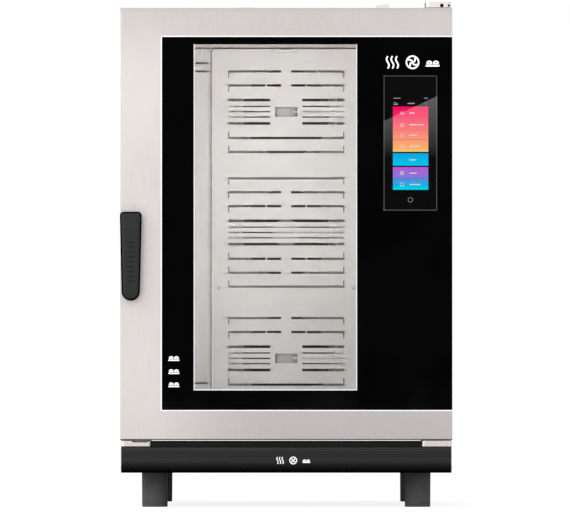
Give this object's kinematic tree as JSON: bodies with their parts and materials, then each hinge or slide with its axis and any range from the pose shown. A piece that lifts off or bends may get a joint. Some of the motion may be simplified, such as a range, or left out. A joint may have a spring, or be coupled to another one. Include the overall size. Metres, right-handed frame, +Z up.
{
  "type": "combi steamer oven",
  "caption": "Free-standing combi steamer oven with a full-width hinged glass door, touch display, fan-heated steel cavity with tray racks, on levelling feet.",
  "frame": {"origin": "on the floor, under the middle of the footprint (handle face to rear fittings)", "axes": "+X to the right seen from the front, -Y the side the door faces, +Z up"},
  "size_m": [0.76, 1.02, 1.193],
  "materials": {
    "casing_steel": "fine brushed stainless sheet, warm light grey",
    "cavity_steel": "bright satin stainless",
    "galvanised_sheet": "matt zinc-coated sheet",
    "dark_steel": "heat-darkened steel",
    "trim_plastic": "satin black moulding",
    "handle_plastic": "soft-touch dark grey",
    "foot_plastic": "moulded dark grey",
    "black_glass": "toughened glass, black enamel border and clear window",
    "clear_glass": "clear toughened glass",
    "seal_rubber": "matt silicone",
    "mineral_wool": "pressed mineral wool",
    "circuit_board": "green solder mask",
    "valve_brass": "turned brass",
    "led_white": "frosted light bar"
  },
  "bodies": {
    "cabinet": {"side_panel_left": "casing_steel", "side_panel_right": "casing_steel", "roof_panel": "casing_steel", "rear_panel": "casing_steel", "front_frame": "casing_steel", "door_rest_bracket": "casing_steel", "hinge_bracket_lower": "casing_steel", "hinge_bracket_upper": "casing_steel", "cavity_liner": "cavity_steel", "fan_baffle": "cavity_steel", "air_guide_left": "cavity_steel", "air_guide_right": "cavity_steel", "drain_pipe": "cavity_steel", "water_injector": "cavity_steel", "exhaust_chimney": "cavity_steel", "roof_vent_cowl": "cavity_steel", "latch_striker": "cavity_steel", "base_chassis": "galvanised_sheet", "control_board_tray": "galvanised_sheet", "fan_motor_upper": "galvanised_sheet", "fan_motor_middle": "galvanised_sheet", "fan_motor_lower": "galvanised_sheet", "hinge_pin_lower": "dark_steel", "hinge_pin_upper": "dark_steel", "heating_element_upper": "dark_steel", "heating_element_middle": "dark_steel", "heating_element_lower": "dark_steel", "front_base_trim": "trim_plastic", "drip_gutter": "trim_plastic", "cooling_fan_housing": "trim_plastic", "terminal_box": "handle_plastic", "leg_sleeve_front_left": "foot_plastic", "leg_sleeve_front_right": "foot_plastic", "leg_sleeve_rear_left": "foot_plastic", "leg_sleeve_rear_right": "foot_plastic", "door_gasket": "seal_rubber", "insulation_jacket": "mineral_wool", "power_board": "circuit_board", "water_inlet_valve": "valve_brass"},
    "door": {"door_skin": "casing_steel", "door_outer_glass": "black_glass", "outer_glass_carrier": "trim_plastic", "door_inner_glass": "clear_glass", "door_inner_frame": "casing_steel", "display_module": "trim_plastic", "door_led_bar": "led_white"},
    "handle": {"handle_lever": "handle_plastic", "latch_spindle": "dark_steel"},
    "fan_upper": {"fan_wheel_upper": "dark_steel"},
    "fan_middle": {"fan_wheel_middle": "dark_steel"},
    "fan_lower": {"fan_wheel_lower": "dark_steel"},
    "cooling_fan": {"cooling_fan_wheel": "handle_plastic"},
    "damper": {"exhaust_damper": "cavity_steel"},
    "tray_rack_left": {"rack_left": "cavity_steel"},
    "tray_rack_right": {"rack_right": "cavity_steel"},
    "strainer": {"drain_strainer": "cavity_steel"},
    "levelling_foot_front_left": {"foot_front_left": "foot_plastic"},
    "levelling_foot_front_right": {"foot_front_right": "foot_plastic"},
    "levelling_foot_rear_left": {"foot_rear_left": "foot_plastic"},
    "levelling_foot_rear_right": {"foot_rear_right": "foot_plastic"}
  },
  "joints": [
    {"name": "door_hinge", "type": "hinge", "parent": "cabinet", "child": "door", "pos_m": [0.357, -0.4425, 0.65], "axis": [0, 0, 1], "range_deg": [0, 120]},
    {"name": "handle_turn", "type": "hinge", "parent": "door", "child": "handle", "pos_m": [-0.3548, -0.48, 0.645], "axis": [0, -1, 0], "range_deg": [0, 60]},
    {"name": "fan_upper_spin", "type": "hinge", "parent": "cabinet", "child": "fan_upper", "pos_m": [0, 0.33, 0.928], "axis": [0, 1, 0], "continuous": true},
    {"name": "fan_middle_spin", "type": "hinge", "parent": "cabinet", "child": "fan_middle", "pos_m": [0, 0.33, 0.641], "axis": [0, 1, 0], "continuous": true},
    {"name": "fan_lower_spin", "type": "hinge", "parent": "cabinet", "child": "fan_lower", "pos_m": [0, 0.33, 0.342], "axis": [0, 1, 0], "continuous": true},
    {"name": "cooling_fan_spin", "type": "hinge", "parent": "cabinet", "child": "cooling_fan", "pos_m": [0.3, 0.46, 0.8], "axis": [0, 1, 0], "continuous": true},
    {"name": "damper_turn", "type": "hinge", "parent": "cabinet", "child": "damper", "pos_m": [-0.1, 0.33, 1.16], "axis": [1, 0, 0], "range_deg": [0, 90]},
    {"name": "rack_left_lift", "type": "slide", "parent": "cabinet", "child": "tray_rack_left", "axis": [0, 0, 1], "range_m": [0, 0.015]},
    {"name": "rack_right_lift", "type": "slide", "parent": "cabinet", "child": "tray_rack_right", "axis": [0, 0, 1], "range_m": [0, 0.015]},
    {"name": "strainer_lift", "type": "slide", "parent": "cabinet", "child": "strainer", "axis": [0, 0, 1], "range_m": [0, 0.03]},
    {"name": "foot_front_left_level", "type": "slide", "parent": "cabinet", "child": "levelling_foot_front_left", "axis": [0, 0, -1], "range_m": [0, 0.02]},
    {"name": "foot_front_right_level", "type": "slide", "parent": "cabinet", "child": "levelling_foot_front_right", "axis": [0, 0, -1], "range_m": [0, 0.02]},
    {"name": "foot_rear_left_level", "type": "slide", "parent": "cabinet", "child": "levelling_foot_rear_left", "axis": [0, 0, -1], "range_m": [0, 0.02]},
    {"name": "foot_rear_right_level", "type": "slide", "parent": "cabinet", "child": "levelling_foot_rear_right", "axis": [0, 0, -1], "range_m": [0, 0.02]}
  ]
}
